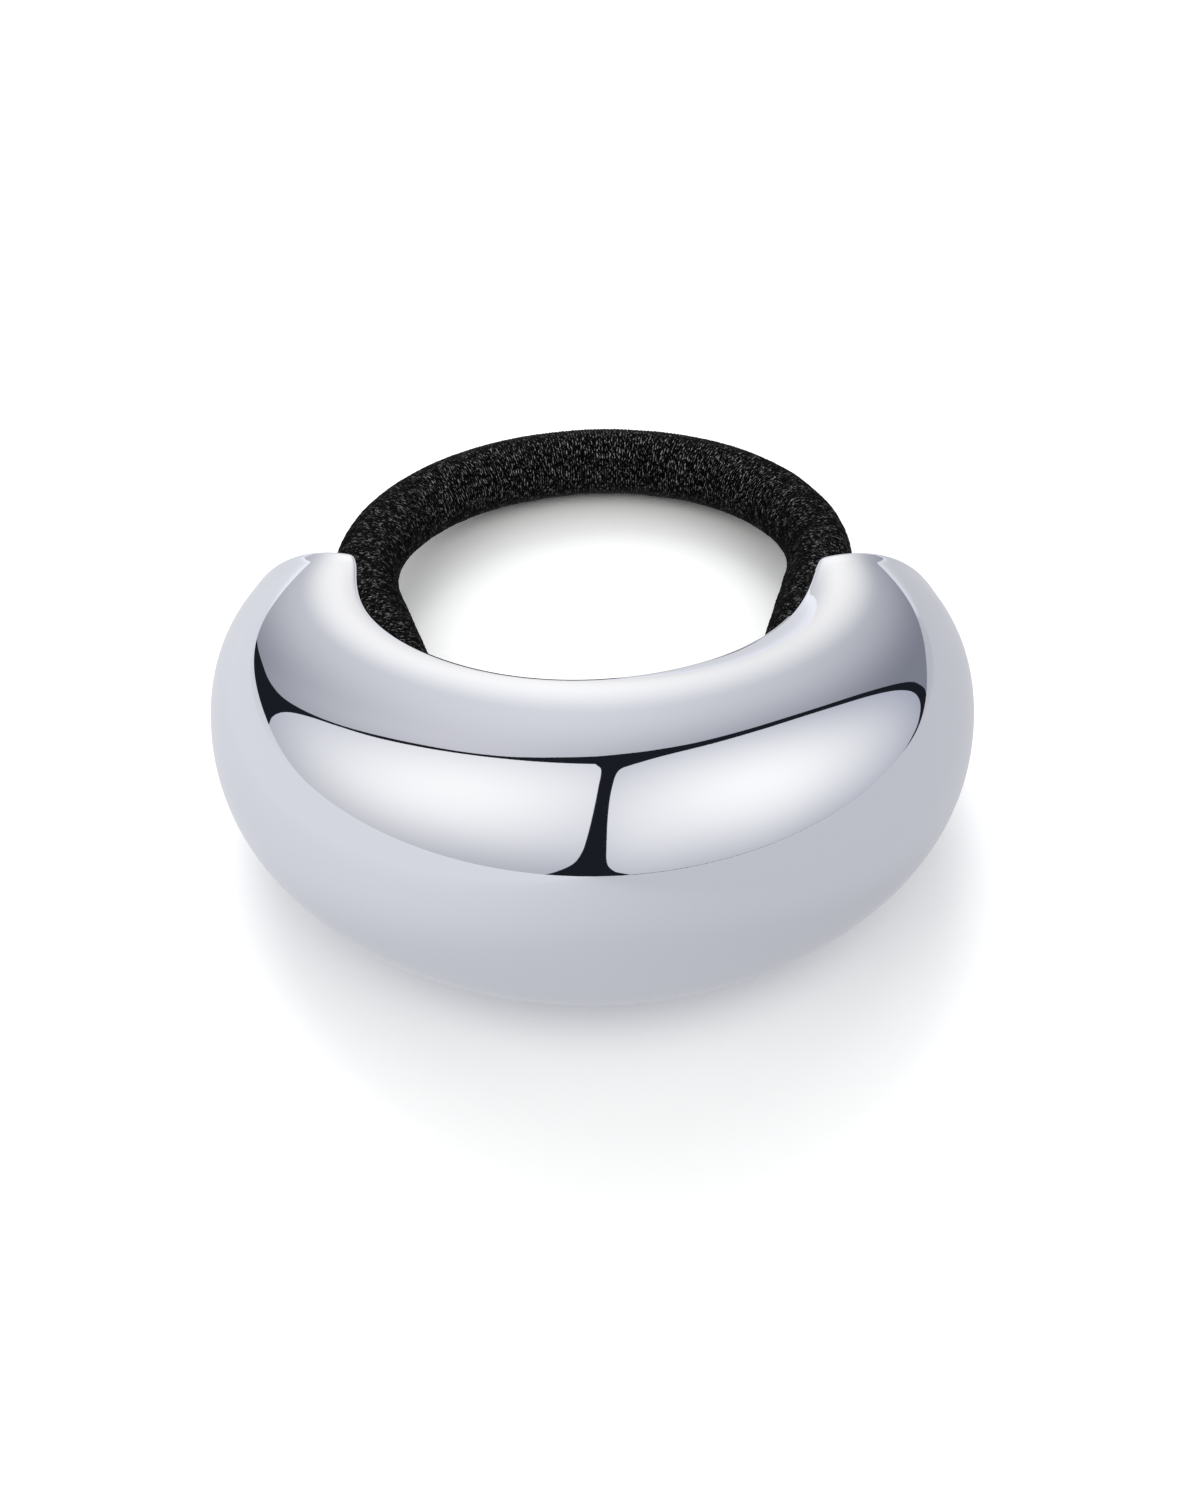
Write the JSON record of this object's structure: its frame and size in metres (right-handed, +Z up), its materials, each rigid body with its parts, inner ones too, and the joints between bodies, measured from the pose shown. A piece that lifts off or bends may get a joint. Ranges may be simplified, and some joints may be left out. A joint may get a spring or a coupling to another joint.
{
  "type": "ponytail cuff",
  "caption": "Chunky half-ring ponytail cuff: a hollow polished metal trough over a closed loop of round covered elastic.",
  "frame": {"origin": "on the surface that the part lies on, under the middle of the whole part's box", "axes": "+Y from the cuff's closed front towards the elastic's free loop, +Z up, +X to the right as seen from the closed front"},
  "size_m": [0.0558, 0.072, 0.0237],
  "materials": {
    "metal": "mirror-polished silver-coloured plating",
    "elastic": "matt black yarn wound closely over a rubber core"
  },
  "bodies": {
    "root": {"cuff_shell": "metal", "hair_tie": "elastic"}
  },
  "joints": []
}
